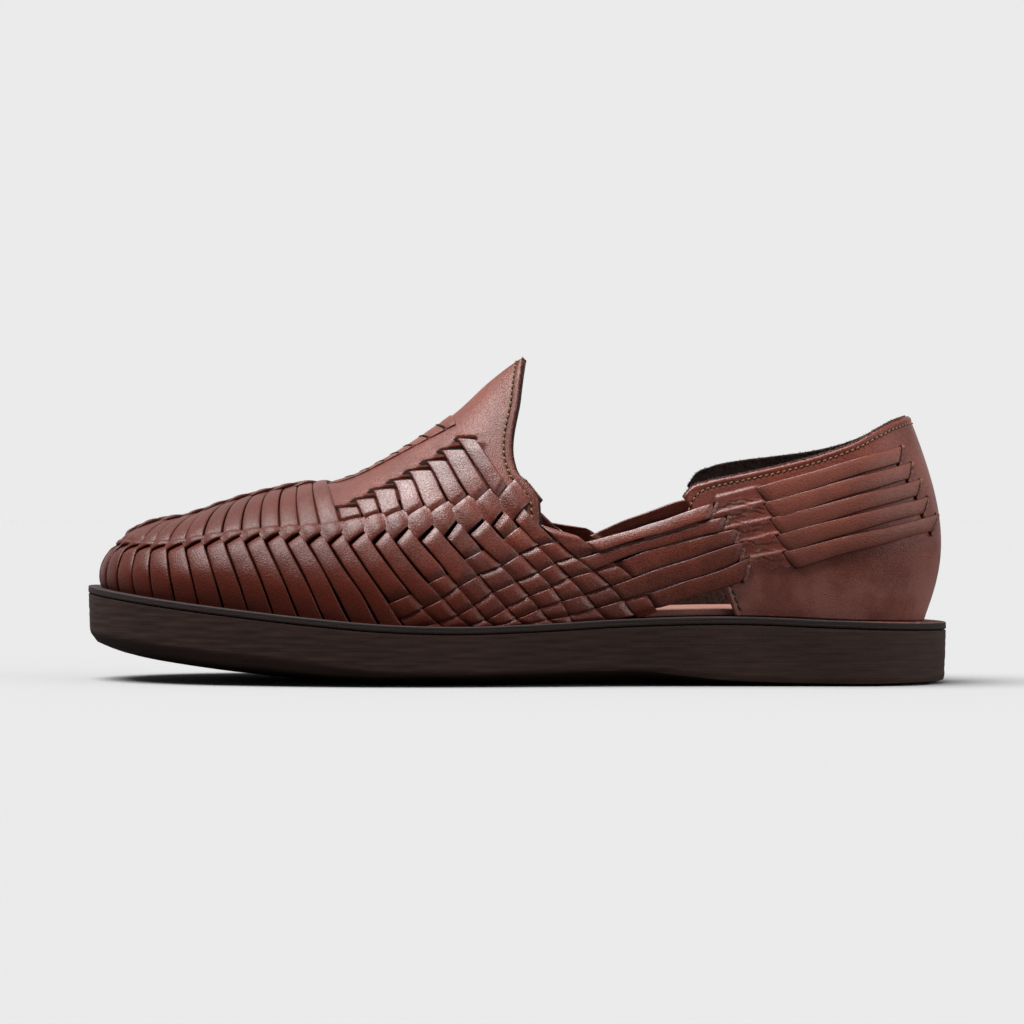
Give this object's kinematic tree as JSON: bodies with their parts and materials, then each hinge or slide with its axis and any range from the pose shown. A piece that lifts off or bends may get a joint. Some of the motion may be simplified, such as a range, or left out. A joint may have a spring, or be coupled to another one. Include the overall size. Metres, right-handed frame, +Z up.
{
  "type": "woven leather loafer",
  "caption": "Slip-on woven leather loafer for the left foot, with a tall pointed tongue, long side straps threaded through a closed heel and a thick flat rubber sole.",
  "frame": {"origin": "on the floor, below the middle of the shoe's bounding box", "axes": "+X to the heel, so the toe points to -X; -Y to the outer (lateral) side; +Z up"},
  "size_m": [0.295, 0.1052, 0.1108],
  "materials": {
    "rubber": "matt, dark brown, finely sanded",
    "midsole_leather": "dyed dark, satin edge",
    "insole_leather": "undyed tan, matt",
    "strap_leather": "smooth reddish brown, satin",
    "tongue_leather": "smooth reddish brown, satin",
    "counter_leather": "smooth reddish brown, satin"
  },
  "bodies": {
    "root": {"outsole": "rubber", "midsole": "midsole_leather", "insole": "insole_leather", "upper": "strap_leather", "tongue": "tongue_leather", "ridge_strap": "strap_leather", "counter": "counter_leather", "heel_strap_lateral_1": "strap_leather", "heel_strap_lateral_2": "strap_leather", "heel_strap_lateral_3": "strap_leather", "heel_strap_lateral_4": "strap_leather", "heel_strap_lateral_5": "strap_leather", "heel_strap_medial_1": "strap_leather", "heel_strap_medial_2": "strap_leather", "heel_strap_medial_3": "strap_leather", "heel_strap_medial_4": "strap_leather", "heel_strap_medial_5": "strap_leather"}
  },
  "joints": []
}
